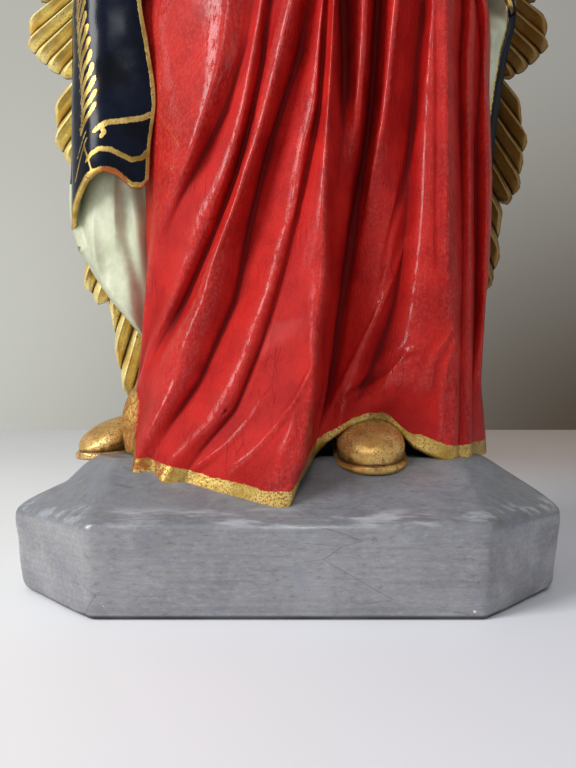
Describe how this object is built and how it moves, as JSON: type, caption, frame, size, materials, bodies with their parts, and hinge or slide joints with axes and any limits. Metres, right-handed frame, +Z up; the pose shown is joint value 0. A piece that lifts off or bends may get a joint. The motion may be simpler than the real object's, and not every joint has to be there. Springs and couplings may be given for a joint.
{
  "type": "madonna statue",
  "caption": "Carved, painted and gilded standing Madonna at prayer, red gown under a dark blue mantle, before an oval wreath of gold rays, on a low grey plinth.",
  "frame": {"origin": "centre of the underside of the plinth, which rests on the table", "axes": "+Z up, the figure faces -Y, +X to the right of someone who looks at its face"},
  "size_m": [0.219, 0.1297, 0.4495],
  "materials": {
    "plinth_paint": "grey brushed oil paint on gesso, satin",
    "gown_red": "deep red glaze on gesso, glossy varnish",
    "mantle_blue": "dark blue paint with gilt ornament, glossy varnish",
    "flesh": "flesh paint on gesso, satin",
    "gilding": "aged gold leaf on red clay",
    "shoe_gilding": "worn gold leaf with the red clay showing",
    "bare_wood": "bare limewood",
    "screw_steel": "plain steel"
  },
  "bodies": {
    "root": {"board_screws": "screw_steel", "crest_ray_bundle": "gilding", "girdle": "gilding", "glory_board": "bare_wood", "gown": "gown_red", "head": "flesh", "hood": "mantle_blue", "left_fall": "mantle_blue", "left_hand": "flesh", "left_ray_bundle_1": "gilding", "left_ray_bundle_10": "gilding", "left_ray_bundle_11": "gilding", "left_ray_bundle_12": "gilding", "left_ray_bundle_2": "gilding", "left_ray_bundle_3": "gilding", "left_ray_bundle_4": "gilding", "left_ray_bundle_5": "gilding", "left_ray_bundle_6": "gilding", "left_ray_bundle_7": "gilding", "left_ray_bundle_8": "gilding", "left_ray_bundle_9": "gilding", "left_shoe": "shoe_gilding", "left_sleeve": "gown_red", "mantle_back": "mantle_blue", "neck_dowel": "bare_wood", "plinth": "plinth_paint", "plinth_dowels": "bare_wood", "plinth_screws": "screw_steel", "right_fall": "mantle_blue", "right_hand": "flesh", "right_ray_bundle_1": "gilding", "right_ray_bundle_10": "gilding", "right_ray_bundle_11": "gilding", "right_ray_bundle_12": "gilding", "right_ray_bundle_2": "gilding", "right_ray_bundle_3": "gilding", "right_ray_bundle_4": "gilding", "right_ray_bundle_5": "gilding", "right_ray_bundle_6": "gilding", "right_ray_bundle_7": "gilding", "right_ray_bundle_8": "gilding", "right_ray_bundle_9": "gilding", "right_shoe": "shoe_gilding", "right_sleeve": "gown_red", "shoe_dowels": "bare_wood", "torso": "gown_red", "waist_dowel": "bare_wood"}
  },
  "joints": []
}
